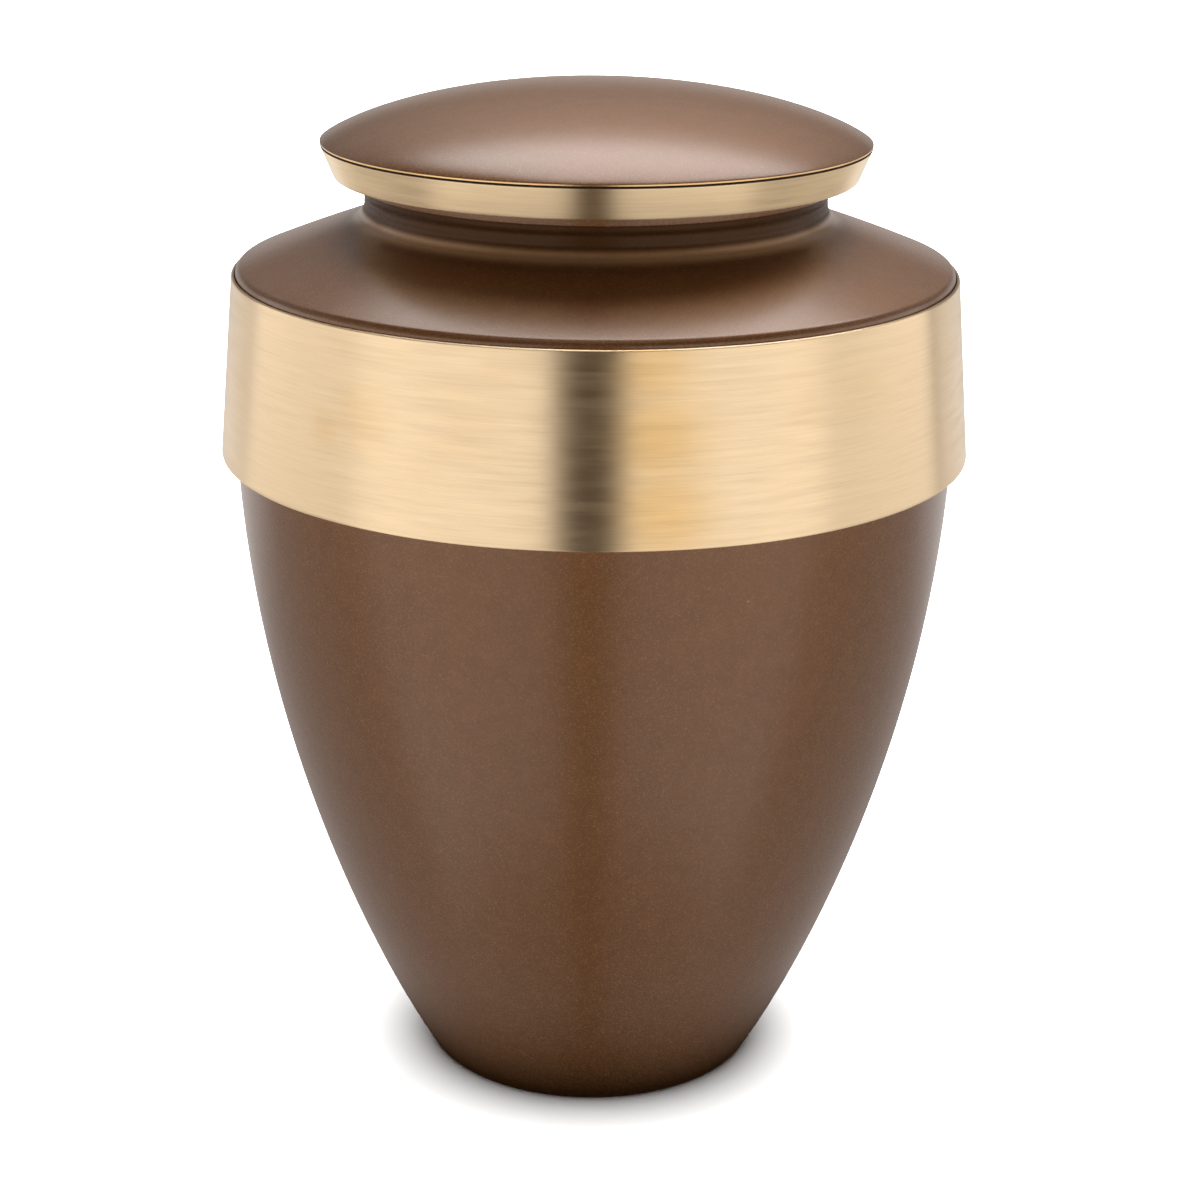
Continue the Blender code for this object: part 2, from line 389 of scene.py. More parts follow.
def finish_inside(piece, material, lowest, widest):
    """Gives a second material to what looks at the axis above the lowest height, or up below the widest."""
    piece.data.materials.append(material)
    for face in piece.data.polygons:
        looks_at_axis = face.normal.xy.dot(face.center.xy) < -FACING_TOLERANCE
        looks_up = face.normal.z > 0.0 and face.center.z < widest
        if face.center.z > lowest and (looks_at_axis or looks_up):
            face.material_index = 1


def stand_in(piece, node):
    """The piece takes the place of a node of the frame."""
    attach(piece, BODY)
    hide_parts(node)


# Shader groups


def new_group(name, inputs, outputs):
    """An empty shader group with named sockets, as (group, its input node, its output node)."""
    group = bpy.data.node_groups.new(name, "ShaderNodeTree")
    for socket, kind, default in inputs:
        made = group.interface.new_socket(name=socket, in_out="INPUT", socket_type=kind)
        if default is not None:
            made.default_value = default
    for socket, kind in outputs:
        group.interface.new_socket(name=socket, in_out="OUTPUT", socket_type=kind)
    return group, group.nodes.new("NodeGroupInput"), group.nodes.new("NodeGroupOutput")


def add(tree, kind, inputs=None, **settings):
    """A node with its settings, and its inputs filled from values or linked from sockets."""
    node = tree.nodes.new(kind)
    for name, value in settings.items():
        setattr(node, name, value)
    for socket, value in (inputs or {}).items():
        if isinstance(value, bpy.types.NodeSocket):
            tree.links.new(value, node.inputs[socket])
        else:
            node.inputs[socket].default_value = value
    return node


def maths(tree, operation, *values):
    """A Math node's result."""
    return add(tree, "ShaderNodeMath", dict(enumerate(values)), operation=operation).outputs[0]


def vector_maths(tree, operation, *values):
    """A Vector Math node's vector."""
    return add(tree, "ShaderNodeVectorMath", dict(enumerate(values)), operation=operation).outputs["Vector"]


def mixed(tree, factor, first, second):
    """A mix of two colours."""
    node = add(tree, "ShaderNodeMix", {"Factor": factor}, data_type="RGBA")
    for socket, value in ((node.inputs[MIX_FIRST], first), (node.inputs[MIX_SECOND], second)):
        if isinstance(value, bpy.types.NodeSocket):
            tree.links.new(value, socket)
        else:
            socket.default_value = (*value, 1.0)
    return node.outputs[MIX_RESULT]


def ramp(tree, value, low, high, to_low=0.0, to_high=1.0):
    """A value stretched smoothly from one range to another."""
    inputs = {"Value": value, "From Min": low, "From Max": high, "To Min": to_low, "To Max": to_high}
    return add(tree, "ShaderNodeMapRange", inputs, interpolation_type="SMOOTHSTEP").outputs["Result"]


def metal_flake_group():
    """Flakes of one size in a paint: how bright each one is, and a normal that tips each its own way."""
    group, given, result = new_group(
        "metal_flake",
        [("Vector", VECTOR, None), ("Flake Size", NUMBER, 0.4 * MM), ("Tip", NUMBER, 0.2)],
        [("Shine", NUMBER), ("Normal", VECTOR)],
    )
    scale = maths(group, "DIVIDE", 1.0, given.outputs["Flake Size"])
    cells = add(group, "ShaderNodeTexVoronoi", {"Vector": given.outputs["Vector"], "Scale": scale})
    chance = add(group, "ShaderNodeSeparateColor", {"Color": cells.outputs["Color"]})
    group.links.new(chance.outputs["Red"], result.inputs["Shine"])
    tip = vector_maths(group, "SUBTRACT", cells.outputs["Color"], (0.5, 0.5, 0.5))
    scaled = add(group, "ShaderNodeVectorMath", {0: tip, "Scale": given.outputs["Tip"]}, operation="SCALE")
    surface = add(group, "ShaderNodeNewGeometry").outputs["Normal"]
    tipped = vector_maths(group, "ADD", surface, scaled.outputs["Vector"])
    group.links.new(vector_maths(group, "NORMALIZE", tipped), result.inputs["Normal"])


def mottle_group():
    """Slow, cloudy unevenness, and rare small specks of dust or pitting."""
    group, given, result = new_group(
        "mottle",
        [
            ("Vector", VECTOR, None),
            ("Cloud Size", NUMBER, 50.0 * MM),
            ("Speck Spacing", NUMBER, 30.0 * MM),
            ("Speck Size", NUMBER, 0.4 * MM),
        ],
        [("Clouds", NUMBER), ("Specks", NUMBER)],
    )
    vector = given.outputs["Vector"]
    cloud_scale = maths(group, "DIVIDE", 1.0, given.outputs["Cloud Size"])
    cloudy = {"Vector": vector, "Scale": cloud_scale, "Detail": 3.0, "Roughness": 0.55}
    clouds = add(group, "ShaderNodeTexNoise", cloudy)
    group.links.new(clouds.outputs["Fac"], result.inputs["Clouds"])
    speck_scale = maths(group, "DIVIDE", 1.0, given.outputs["Speck Spacing"])
    cells = add(group, "ShaderNodeTexVoronoi", {"Vector": vector, "Scale": speck_scale})
    speck_reach = maths(group, "MULTIPLY", given.outputs["Speck Size"], speck_scale)
    specks = maths(group, "LESS_THAN", cells.outputs["Distance"], speck_reach)
    group.links.new(specks, result.inputs["Specks"])


def turned_lines_group():
    """Fine lines round the axis, as a lathe and a scouring pad leave them."""
    group, given, result = new_group(
        "turned_lines",
        [("Vector", VECTOR, None), ("Pitch", NUMBER, 0.25 * MM), ("Run", NUMBER, 20.0 * MM)],
        [("Fine", NUMBER), ("Broad", NUMBER)],
    )
    place = add(group, "ShaderNodeSeparateXYZ", {"Vector": given.outputs["Vector"]})
    across, deep, height = place.outputs
    squares = [maths(group, "POWER", side, 2.0) for side in (across, deep)]
    radius = maths(group, "SQRT", maths(group, "ADD", *squares))
    along_section = maths(group, "ADD", height, radius)
    run = given.outputs["Run"]
    for output, spread in (("Fine", 1.0), ("Broad", BROAD_SPREAD)):
        pitch = maths(group, "MULTIPLY", given.outputs["Pitch"], spread)
        on_line = {
            "X": maths(group, "DIVIDE", across, run),
            "Y": maths(group, "DIVIDE", deep, run),
            "Z": maths(group, "DIVIDE", along_section, pitch),
        }
        point = add(group, "ShaderNodeCombineXYZ", on_line).outputs["Vector"]
        uneven = {"Vector": point, "Scale": 1.0, "Detail": 2.0, "Roughness": 0.6}
        noise = add(group, "ShaderNodeTexNoise", uneven)
        group.links.new(noise.outputs["Fac"], result.inputs[output])


def soft_spot_group():
    """A soft round spot about a point, to place a stain or a spot of painted sheen."""
    group, given, result = new_group(
        "soft_spot",
        [("Vector", VECTOR, None), ("Centre", VECTOR, None), ("Reach", NUMBER, 10.0 * MM)],
        [("Spot", NUMBER)],
    )
    inputs = {0: given.outputs["Vector"], 1: given.outputs["Centre"]}
    distance = add(group, "ShaderNodeVectorMath", inputs, operation="DISTANCE").outputs["Value"]
    spot = ramp(group, distance, given.outputs["Reach"], 0.0)
    group.links.new(spot, result.inputs["Spot"])


def group_node(tree, group, **inputs):
    """A shader group placed in a material. An input's name has _ for a space."""
    node = add(tree, "ShaderNodeGroup", node_tree=group)
    for name, value in inputs.items():
        socket = node.inputs[name.replace("_", " ").title()]
        if isinstance(value, bpy.types.NodeSocket):
            tree.links.new(value, socket)
        else:
            socket.default_value = value
    return node


def new_material(name):
    """An empty material, as (material, its tree, its shader, the object's own coordinates)."""
    material = bpy.data.materials.new(name)
    material.use_nodes = True
    tree = material.node_tree
    shader = tree.nodes["Principled BSDF"]
    place = add(tree, "ShaderNodeTexCoord").outputs["Object"]
    return material, tree, shader, place


def bronze_paint(context, name, neck=None):
    """Satin bronze paint: fine metal flakes in a brown ground, under a clear coat.

    A ring of painted highlight lies between the first two heights in neck, and painted shade, with less
    clear coat, from the second up to the third.
    """
    finish = context.scene.urn_finish
    material, tree, shader, place = new_material(name)
    groups = bpy.data.node_groups
    flakes = group_node(
        tree, groups["metal_flake"], vector=place, flake_size=finish.flake_size, tip=FLAKE_TIP
    )
    marks = group_node(
        tree,
        groups["mottle"],
        vector=place,
        cloud_size=PAINT_CLOUD,
        speck_spacing=DUST_SPACING,
        speck_size=DUST_SIZE,
    )
    clouds = ramp(tree, marks.outputs["Clouds"], *PAINT_CLOUD_RANGE)
    ground = mixed(tree, clouds, finish.paint_dark, finish.paint_light)
    sparkle = maths(tree, "POWER", flakes.outputs["Shine"], FLAKE_CONTRAST)
    flaked = mixed(tree, maths(tree, "MULTIPLY", sparkle, FLAKE_SHOW), ground, finish.paint_flake)
    dusty = maths(tree, "MULTIPLY", marks.outputs["Specks"], DUST_SHOW)
    coloured = mixed(tree, dusty, flaked, finish.dust)
    if neck:
        cove_low, cove_high, neck_high = neck
        height = add(tree, "ShaderNodeSeparateXYZ", {"Vector": place}).outputs["Z"]
        in_cove = ramp(tree, height, cove_low - NECK_FADE, cove_low + NECK_FADE)
        above_cove = ramp(tree, height, cove_high - NECK_FADE, cove_high + NECK_FADE)
        # Painted shade on the neck from the hollow up to the collar, with less clear coat there
        shaded = maths(tree, "MULTIPLY", above_cove, maths(tree, "LESS_THAN", height, neck_high))
        # A ring of painted highlight in the neck's hollow
        highlighted = maths(tree, "MULTIPLY", in_cove, maths(tree, "SUBTRACT", 1.0, above_cove))
        coloured = mixed(tree, maths(tree, "MULTIPLY", highlighted, PAINTED_HIGHLIGHT_SHOW), coloured, finish.painted_cove_highlight)
        coloured = mixed(tree, maths(tree, "MULTIPLY", shaded, PAINTED_SHADE_SHOW), coloured, finish.painted_neck_shade)
        coat = ramp(tree, shaded, 0.0, 1.0, PAINT_COAT, PAINTED_SHADE_COAT)
        tree.links.new(coat, shader.inputs["Coat Weight"])
    tree.links.new(coloured, shader.inputs["Base Color"])
    smoothest = finish.paint_roughness - PAINT_ROUGHNESS_SPREAD
    roughest = finish.paint_roughness + PAINT_ROUGHNESS_SPREAD
    varied = ramp(tree, flakes.outputs["Shine"], 0.0, 1.0, smoothest, roughest)
    tree.links.new(varied, shader.inputs["Roughness"])
    peel = add(tree, "ShaderNodeTexNoise", {"Vector": place, "Scale": 1.0 / PEEL_SIZE, "Detail": 2.0})
    relief = maths(tree, "ADD", peel.outputs["Fac"], marks.outputs["Specks"])
    bump = add(tree, "ShaderNodeBump", {"Strength": PEEL_STRENGTH, "Distance": PEEL_DEPTH, "Height": relief})
    tree.links.new(flakes.outputs["Normal"], bump.inputs["Normal"])
    tree.links.new(bump.outputs["Normal"], shader.inputs["Normal"])
    shader.inputs["Metallic"].default_value = 1.0
    shader.inputs["Coat Weight"].default_value = PAINT_COAT
    shader.inputs["Coat Roughness"].default_value = COAT_ROUGHNESS
    return material


def brushed_brass(context, name, metal, roughness):
    """Bare brass with fine lines turned round it, faint stains, spots of painted warm sheen and a few pits.
    """
    finish = context.scene.urn_finish
    material, tree, shader, place = new_material(name)
    groups = bpy.data.node_groups
    lines = group_node(tree, groups["turned_lines"], vector=place, pitch=finish.line_pitch, run=LINE_RUN)
    marks = group_node(
        tree,
        groups["mottle"],
        vector=place,
        cloud_size=BRASS_CLOUD,
        speck_spacing=PIT_SPACING,
        speck_size=PIT_SIZE,
    )
    stains_and_sheen = ramp(tree, marks.outputs["Clouds"], *CLOUD_STAIN_RANGE, 0.0, CLOUD_STAIN_SHOW)
    # Spots of painted warm sheen beside the band's dark stripe, and fainter yellow spots
    for centre, reach, strength in STAIN_AND_SHEEN_SPOTS:
        spot = group_node(tree, groups["soft_spot"], vector=place, centre=centre, reach=reach)
        patchy = ramp(tree, marks.outputs["Clouds"], *PATCHY_RANGE, PATCHY_LEAST * strength, strength)
        broken = maths(tree, "MULTIPLY", spot.outputs["Spot"], patchy)
        stains_and_sheen = maths(tree, "MAXIMUM", stains_and_sheen, broken)
    stained_and_sheened = mixed(tree, stains_and_sheen, metal, finish.brass_stain_and_sheen)
    streaks = ramp(tree, lines.outputs["Broad"], *BROAD_RANGE, BROAD_SHOW, 0.0)
    streaked = mixed(tree, streaks, stained_and_sheened, finish.brass_dark)
    scratches = ramp(tree, lines.outputs["Fine"], *FINE_RANGE, FINE_SHOW, 0.0)
    scratched = mixed(tree, scratches, streaked, finish.brass_dark)
    pitted = mixed(tree, maths(tree, "MULTIPLY", marks.outputs["Specks"], PIT_SHOW), scratched, finish.pit)
    tree.links.new(pitted, shader.inputs["Base Color"])
    smoothest = roughness - BRASS_ROUGHNESS_SPREAD
    roughest = roughness + BRASS_ROUGHNESS_SPREAD
    varied = ramp(tree, lines.outputs["Broad"], *BRASS_ROUGHNESS_RANGE, smoothest, roughest)
    tree.links.new(varied, shader.inputs["Roughness"])
    relief = maths(tree, "MULTIPLY_ADD", lines.outputs["Broad"], BROAD_RELIEF, lines.outputs["Fine"])
    pits = maths(tree, "MULTIPLY_ADD", marks.outputs["Specks"], PIT_RELIEF, relief)
    bump = add(tree, "ShaderNodeBump", {"Strength": LINE_STRENGTH, "Distance": LINE_DEPTH, "Height": pits})
    tree.links.new(bump.outputs["Normal"], shader.inputs["Normal"])
    shader.inputs["Metallic"].default_value = 1.0
    shader.inputs["Anisotropic"].default_value = BRUSHING
    shader.inputs["Anisotropic Rotation"].default_value = BRUSHING_TURN
    return material


def painted_seam_shade(context, name):
    """Painted shade: an unevenly dark colour that stands for the shade in the seam between two pieces."""
    finish = context.scene.urn_finish
    material, tree, shader, place = new_material(name)
    seam_unevenness = add(tree, "ShaderNodeTexNoise", {"Vector": place, "Scale": 1.0 / PEEL_SIZE, "Detail": 2.0})
    varied = mixed(tree, maths(tree, "MULTIPLY", seam_unevenness.outputs["Fac"], SEAM_SHADE_UNEVENNESS), finish.seam, finish.pit)
    tree.links.new(varied, shader.inputs["Base Color"])
    shader.inputs["Roughness"].default_value = SEAM_ROUGHNESS
    return material


# Outlines


def polar(reach, direction):
    """A step in the outline's plane, from its length and its direction in radians."""
    return Vector((math.cos(direction), math.sin(direction))) * reach


def cove_centre(vessel):
    """Middle of the hollow between neck and shoulder."""
    rise = vessel.neck_cove * math.cos(vessel.shoulder_top_slope)
    return Vector((vessel.neck_waist + vessel.neck_cove, vessel.shoulder_top + rise))


def shoulder_side(vessel, cone_count, arc_count):
    """The shoulder from the neck's hollow out to its edge, down to the top of the band."""
    slope = vessel.shoulder_edge_slope
    rounding = vessel.shoulder_rounding
    top = cove_centre(vessel) + polar(vessel.neck_cove, -math.pi / 2 - vessel.shoulder_top_slope)
    centre = Vector((vessel.shoulder_radius - rounding, vessel.shoulder_height + vessel.shoulder_wall))
    edge = centre + polar(rounding, math.pi / 2 - slope)
    top_pull = polar(vessel.shoulder_top_pull, -vessel.shoulder_top_slope)
    edge_pull = polar(vessel.shoulder_edge_pull, math.pi - slope)
    cone = interpolate_bezier(top, top + top_pull, edge + edge_pull, edge, cone_count)
    rounded = arc(centre, rounding, 90.0 - math.degrees(slope), 0.0, arc_count)
    return cone[:-1] + rounded + [Vector((vessel.shoulder_radius, vessel.shoulder_height))]


def bowl_side(vessel, count):
    """The bowl from the band's lower edge down to the foot's rounding."""
    top = Vector((vessel.bowl_radius, vessel.bowl_height))
    top_pull = polar(vessel.bowl_top_pull, -math.pi / 2 - vessel.bowl_top_lean)
    foot = Vector((vessel.foot_radius, vessel.foot_rounding))
    foot_pull = polar(vessel.bowl_foot_pull, math.pi / 2 - vessel.bowl_foot_lean)
    return interpolate_bezier(top, top + top_pull, foot + foot_pull, foot, count)


def neck_side(vessel):
    """The neck from under its collar down to the shoulder, with its faint turned rings."""
    straight_count = 16
    cove_count = 28
    plain_count = 8
    waist = 180.0 - math.degrees(vessel.neck_lean)
    shoulder = 270.0 - math.degrees(vessel.shoulder_top_slope)
    cove = arc(cove_centre(vessel), vessel.neck_cove, waist, shoulder, cove_count)
    collar_bottom = vessel.neck_top - vessel.collar_height
    rise = collar_bottom - cove[0].y
    start = Vector((cove[0].x + rise * math.tan(vessel.neck_lean), collar_bottom))
    straight = [start.lerp(cove[0], step / straight_count) for step in range(straight_count)]
    side = straight + cove
    for point in side[1:-plain_count]:
        turns = (collar_bottom - point.y) / vessel.ring_pitch
        point.x += vessel.ring_depth * (1.0 - math.cos(turns * math.tau))
    return side


class URN_OT_vessel(bpy.types.Operator):
    """Builds the painted vessel, hollow under its lid"""

    bl_idname = "urn.vessel"
    bl_label = "Painted Vessel"

    def execute(self, context):
        vessel = context.scene.urn_vessel
        finish = context.scene.urn_finish
        floor_top = vessel.foot_recess + vessel.floor
        outer_side = shoulder_side(vessel, cone_count=32, arc_count=12) + bowl_side(vessel, count=110)
        coarse_side = shoulder_side(vessel, cone_count=16, arc_count=4) + bowl_side(vessel, count=48)
        inner_side = above(offset(coarse_side, vessel.wall), floor_top)
        bore = vessel.neck_waist - vessel.neck_wall
        bore_bottom = inner_side[0].y + (inner_side[0].x - bore) * math.tan(vessel.shoulder_top_slope)
        neck = neck_side(vessel)
        collar = neck[0].x + vessel.collar_step
        collar_bottom = vessel.neck_top - vessel.collar_height
        foot_centre = (vessel.foot_radius - vessel.foot_rounding, vessel.foot_rounding)
        foot_edge = arc(foot_centre, vessel.foot_rounding, 0.0, -90.0, count=5)
        recess = foot_centre[0] - vessel.foot_ring
        outline = [
            (0.0, floor_top),
            *inner_side[::-1],
            (bore, bore_bottom),
            (bore, vessel.neck_top),
            (collar, vessel.neck_top),
            (collar, collar_bottom),
            *neck[:-1],
            *outer_side[:-1],
            *foot_edge,
            (recess, 0.0),
            (recess - vessel.foot_recess, vessel.foot_recess),
            (0.0, vessel.foot_recess),
        ]
        crisp = [(bore, vessel.neck_top), (collar, vessel.neck_top), (collar, collar_bottom)]
        piece = turned_piece(context, "painted_vessel", outline, False, crisp, vessel.collar_arris)
        # Heights of the ring of painted highlight in the neck's hollow, and of the painted shade above it up
        # to the collar
        cove_low = vessel.shoulder_top + NECK_FADE / 2
        cove_high = cove_centre(vessel).y - PAINTED_HIGHLIGHT_DROP * vessel.neck_cove
        neck_heights = (cove_low, cove_high, collar_bottom)
        piece.data.materials.append(bronze_paint(context, "vessel_paint", neck_heights))
        inside = brushed_brass(context, "vessel_inside_brass", finish.brass, finish.rim_roughness)
        mid_floor = vessel.foot_recess + vessel.floor / 2
        finish_inside(piece, inside, mid_floor, vessel.bowl_height)
        stand_in(piece, "vessel")
        return {"FINISHED"}


class URN_OT_band(bpy.types.Operator):
    """Builds the brushed brass band round the shoulder"""

    bl_idname = "urn.band"
    bl_label = "Brass Band"

    def execute(self, context):
        vessel = context.scene.urn_vessel
        band = context.scene.urn_band
        finish = context.scene.urn_finish
        inner_top = vessel.shoulder_radius + band.clearance
        inner_bottom = vessel.bowl_radius + band.clearance
        outer_top = inner_top + band.top_thickness
        rounding = band.top_rounding
        top_centre = (outer_top - rounding, vessel.shoulder_height - rounding)
        outline = [
            (inner_top, vessel.shoulder_height),
            *arc(top_centre, rounding, 90.0, 0.0, count=6),
            (band.bottom_radius, vessel.bowl_height),
            (inner_bottom, vessel.bowl_height),
        ]
        crisp = [(band.bottom_radius, vessel.bowl_height), (inner_bottom, vessel.bowl_height)]
        piece = turned_piece(context, "brass_band", outline, True, crisp, band.arris)
        brass = brushed_brass(context, "band_brass", finish.brass, finish.band_roughness)
        piece.data.materials.append(brass)
        stand_in(piece, "band")
        return {"FINISHED"}


class URN_OT_lid(bpy.types.Operator):
    """Builds the lid: a flaring brass rim with its plug, and the painted dome on it"""

    bl_idname = "urn.lid"
    bl_label = "Lid"

    def execute(self, context):
        self.make_rim(context)
        self.make_dome(context)
        return {"FINISHED"}

    def make_rim(self, context):
        vessel = context.scene.urn_vessel
        lid = context.scene.urn_lid
        finish = context.scene.urn_finish
        bottom = lid.rim_bottom
        top = rim_high.z
        foot_radius = lid.rim_radius - lid.rim_flare
        flange_top = bottom + lid.rim_flange
        wall_foot = foot_radius + lid.rim_flare * lid.rim_flange / (top - bottom) - lid.rim_wall
        plug_outer = vessel.neck_waist - vessel.neck_wall - lid.plug_clearance
        plug_inner = plug_outer - lid.plug_wall
        outline = [
            (plug_inner, flange_top),
            (wall_foot, flange_top),
            (lid.rim_radius - lid.rim_wall, top),
            (lid.rim_radius, top),
            (foot_radius, bottom),
            (plug_outer, bottom),
            (plug_outer, rim_low.z),
            (plug_inner, rim_low.z),
        ]
        inner_corners = [(wall_foot, flange_top), (plug_outer, bottom)]
        crisp = [point for point in outline if point not in inner_corners]
        piece = turned_piece(context, "brass_lid_rim", outline, True, crisp, lid.rim_arris)
        brass = brushed_brass(context, "lid_rim_brass", finish.rim_brass, finish.rim_roughness)
        piece.data.materials.append(brass)
        piece.data.materials.append(painted_seam_shade(context, "lid_seam_painted_shade"))
        # The rim's top edge, under the dome, takes the painted seam shade
        for face in piece.data.polygons:
            if face.center.z > top - lid.seam_depth:
                face.material_index = 1
        stand_in(piece, "lid_rim")

    def make_dome(self, context):
        lid = context.scene.urn_lid
        finish = context.scene.urn_finish
        bottom = dome_low.z
        crown = Vector((0.0, dome_high.z))
        crown_pull = crown + Vector((lid.dome_crown_pull, 0.0))
        edge = Vector((lid.dome_radius, bottom + lid.dome_edge))
        edge_pull = edge + polar(lid.dome_edge_pull, math.pi - lid.dome_edge_slope)
        cap_count = 72
        inner_count = 36
        cap = interpolate_bezier(crown, crown_pull, edge_pull, edge, cap_count)
        coarse_cap = interpolate_bezier(crown, crown_pull, edge_pull, edge, inner_count)
        wall_foot = Vector((lid.dome_radius - lid.dome_wall, 0.0))
        inner_side = above(offset(coarse_cap, lid.dome_wall) + [wall_foot], bottom)
        inner_side[0].x = 0.0
        outline = [*cap, (lid.dome_radius, bottom), *inner_side[::-1]]
        crisp = [tuple(edge), (lid.dome_radius, bottom)]
        piece = turned_piece(context, "painted_lid_dome", outline, False, crisp, lid.dome_arris)
        piece.data.materials.append(bronze_paint(context, "lid_dome_paint"))
        bare_edge = brushed_brass(context, "lid_dome_bare_edge", finish.bare_edge, finish.rim_roughness)
        piece.data.materials.append(bare_edge)
        for face in piece.data.polygons:
            if face.center.z < edge.y - lid.dome_arris or face.normal.z < 0.0:
                face.material_index = 1
        stand_in(piece, "lid_dome")


# Soft panels round the urn. Azimuth 0 is the camera's side, 90 the right and 180 behind the urn.
# Each is (turn, first azimuth, last azimuth, lowest elevation, highest elevation, soft edge), in degrees.
# It lies on both sides of its turn, which is an azimuth too.
PANELS = {
    "side_light": (-1.5, 11.5, 125.0, -10.0, 16.0, 6.0),
    "upper_light": (0.0, 60.0, 200.0, 16.0, 42.0, 8.0),
    "low_light": (-1.5, 8.5, 76.0, -53.0, -10.0, 8.0),
    "floor_glow": (-1.5, 8.5, 200.0, -80.0, -10.0, 7.0),
    "top_light": (-11.0, 141.0, 200.0, 42.0, 76.0, 8.0),
    "back_light": (0.0, 128.0, 200.0, -20.0, 9.0, 8.0),
    "front_light": (0.0, -10.0, 70.0, 55.0, 84.0, 10.0),
}


def soft_panel(tree, azimuth, elevation, span):
    """How much of a panel each direction sees: 1 inside it, falling to 0 across its soft edges."""
    turn, first, last, lowest, highest, soft = [math.radians(value) for value in span]
    aside = maths(tree, "ABSOLUTE", maths(tree, "SUBTRACT", azimuth, turn))
    parts = []
    for value, low, high in ((aside, first, last), (elevation, lowest, highest)):
        parts.append(ramp(tree, value, low - soft / 2, low + soft / 2))
        parts.append(ramp(tree, value, high - soft / 2, high + soft / 2, 1.0, 0.0))
    around = maths(tree, "MULTIPLY", parts[0], parts[1])
    return maths(tree, "MULTIPLY", around, maths(tree, "MULTIPLY", parts[2], parts[3]))


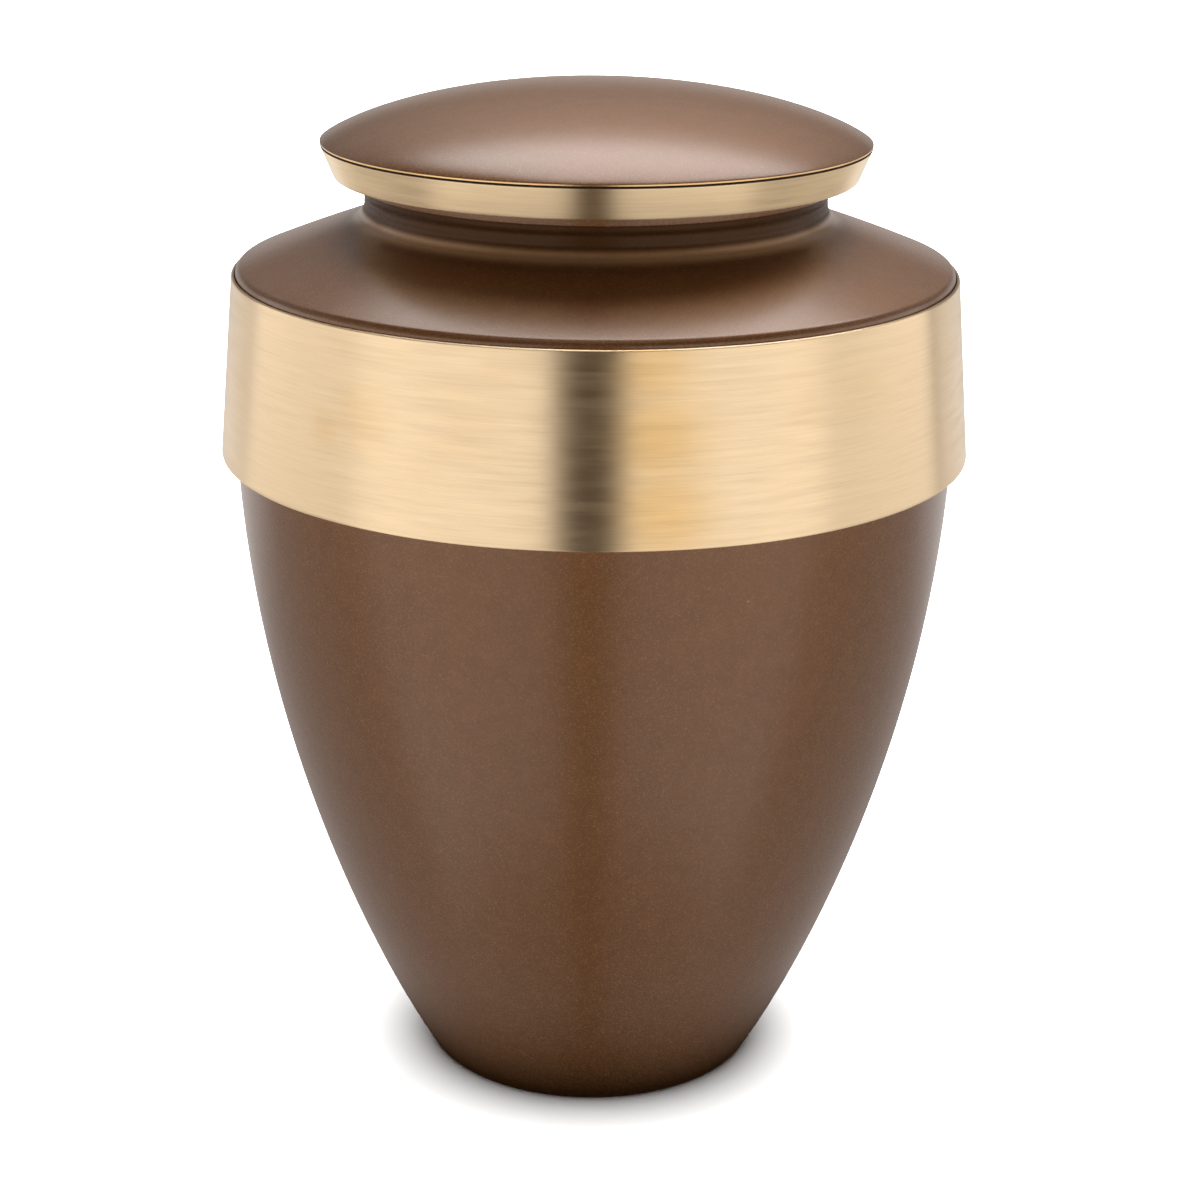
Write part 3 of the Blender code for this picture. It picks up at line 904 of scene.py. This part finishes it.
class URN_OT_stage(bpy.types.Operator):
    """Builds the pale floor, the soft light and the camera"""

    bl_idname = "urn.stage"
    bl_label = "Stage"

    def execute(self, context):
        self.make_floor(context)
        self.make_surroundings(context)
        self.make_camera(context)
        return {"FINISHED"}

    def make_floor(self, context):
        shape = bmesh.new()
        bmesh.ops.create_grid(shape, x_segments=1, y_segments=1, size=FLOOR_HALF_WIDTH)
        mesh = bpy.data.meshes.new("floor")
        shape.to_mesh(mesh)
        shape.free()
        floor = bpy.data.objects.new("floor", mesh)
        context.collection.objects.link(floor)
        mesh.materials.append(self.floor_material())

        wash = bpy.data.lights.new("floor_wash", "SUN")
        wash.energy = context.scene.urn_stage.floor_light
        wash.angle = WASH_ANGLE
        wash_object = bpy.data.objects.new("floor_wash", wash)
        context.collection.objects.link(wash_object)
        lit = bpy.data.collections.new("floor_wash_lights")
        lit.objects.link(floor)
        wash_object.light_linking.receiver_collection = lit

    def floor_material(self):
        """A pale floor. The urn mirrors only the shade under it: the low panels stand for the rest."""
        material, tree, shader, place = new_material("pale_floor")
        shader.inputs["Base Color"].default_value = FLOOR_COLOUR
        shader.inputs["Roughness"].default_value = 1.0
        shader.inputs["Specular IOR Level"].default_value = 0.0
        from_axis = add(tree, "ShaderNodeVectorMath", {0: place}, operation="LENGTH").outputs["Value"]
        shade = add(tree, "ShaderNodeBsdfDiffuse", {"Color": BLACK}).outputs[0]
        clear = add(tree, "ShaderNodeBsdfTransparent").outputs[0]
        open_floor = ramp(tree, from_axis, FLOOR_SHADE_INNER, FLOOR_SHADE_OUTER)
        mirrored = add(tree, "ShaderNodeMixShader", {0: open_floor, 1: shade, 2: clear}).outputs[0]
        seen = add(tree, "ShaderNodeLightPath").outputs["Is Camera Ray"]
        surface = add(tree, "ShaderNodeMixShader", {0: seen, 1: mirrored, 2: shader.outputs[0]}).outputs[0]
        tree.links.new(surface, tree.nodes["Material Output"].inputs["Surface"])
        return material

    def make_surroundings(self, context):
        stage = context.scene.urn_stage
        world = bpy.data.worlds.new("studio")
        world.use_nodes = True
        tree = world.node_tree
        direction = add(tree, "ShaderNodeTexCoord").outputs["Generated"]
        across, deep, height = add(tree, "ShaderNodeSeparateXYZ", {"Vector": direction}).outputs
        elevation = maths(tree, "ARCSINE", height)
        azimuth = maths(tree, "ARCTAN2", across, maths(tree, "MULTIPLY", deep, -1.0))
        glow = 0.0
        for name, span in PANELS.items():
            panel = soft_panel(tree, azimuth, elevation, span)
            glow = maths(tree, "MULTIPLY_ADD", panel, getattr(stage, name), glow)
        panels = add(tree, "ShaderNodeBackground", {"Color": WHITE, "Strength": glow})
        room = add(tree, "ShaderNodeBackground", {"Color": (*stage.room_light, 1.0)})
        lights = add(tree, "ShaderNodeAddShader", {0: panels.outputs[0], 1: room.outputs[0]}).outputs[0]
        backdrop = add(tree, "ShaderNodeBackground", {"Color": WHITE, "Strength": 1.0})
        seen = add(tree, "ShaderNodeLightPath").outputs["Is Camera Ray"]
        blend = add(tree, "ShaderNodeMixShader", {0: seen, 1: lights, 2: backdrop.outputs[0]})
        tree.links.new(blend.outputs[0], tree.nodes["World Output"].inputs["Surface"])
        context.scene.world = world
        context.scene.view_settings.view_transform = "Standard"

    def make_camera(self, context):
        stage = context.scene.urn_stage
        data = bpy.data.cameras.new("camera")
        data.lens = stage.lens
        camera = bpy.data.objects.new("camera", data)
        target = Vector((stage.aim_side, 0.0, stage.aim_height))
        away = Vector((0.0, -math.cos(stage.pitch), math.sin(stage.pitch)))
        facing = away.to_track_quat("Z", "Y").to_matrix().to_4x4()
        stand = Matrix.Translation(target + away * stage.distance)
        camera.matrix_world = stand @ facing @ Matrix.Rotation(stage.roll, 4, "Z")
        context.collection.objects.link(camera)
        context.scene.camera = camera


class URN_PT_panel(bpy.types.Panel):
    """Lists the urn's pieces and their settings"""

    bl_label = "Cremation Urn"
    bl_idname = "URN_PT_panel"
    bl_space_type = "VIEW_3D"
    bl_region_type = "UI"
    bl_category = "Urn"

    def draw(self, context):
        for operator in OPERATORS:
            self.layout.operator(operator.bl_idname)
        for name, group in SETTINGS.items():
            box = self.layout.box()
            box.label(text=group.__doc__)
            settings = getattr(context.scene, name)
            for field in group.__annotations__:
                box.prop(settings, field)


SETTINGS = {
    "urn_vessel": UrnVesselSettings,
    "urn_band": UrnBandSettings,
    "urn_lid": UrnLidSettings,
    "urn_finish": UrnFinishSettings,
    "urn_stage": UrnStageSettings,
}
OPERATORS = (URN_OT_vessel, URN_OT_band, URN_OT_lid, URN_OT_stage)


def register():
    for group in SETTINGS.values():
        bpy.utils.register_class(group)
    for operator in (*OPERATORS, URN_PT_panel):
        bpy.utils.register_class(operator)
    for name, group in SETTINGS.items():
        setattr(bpy.types.Scene, name, PointerProperty(type=group))


def unregister():
    for name in SETTINGS:
        delattr(bpy.types.Scene, name)
    for operator in (URN_PT_panel, *reversed(OPERATORS)):
        bpy.utils.unregister_class(operator)
    for group in reversed(SETTINGS.values()):
        bpy.utils.unregister_class(group)


def main():
    register()
    metal_flake_group()
    mottle_group()
    turned_lines_group()
    soft_spot_group()
    bpy.ops.urn.vessel()
    bpy.ops.urn.band()
    bpy.ops.urn.lid()
    bpy.ops.urn.stage()


if __name__ == "__main__":
    main()
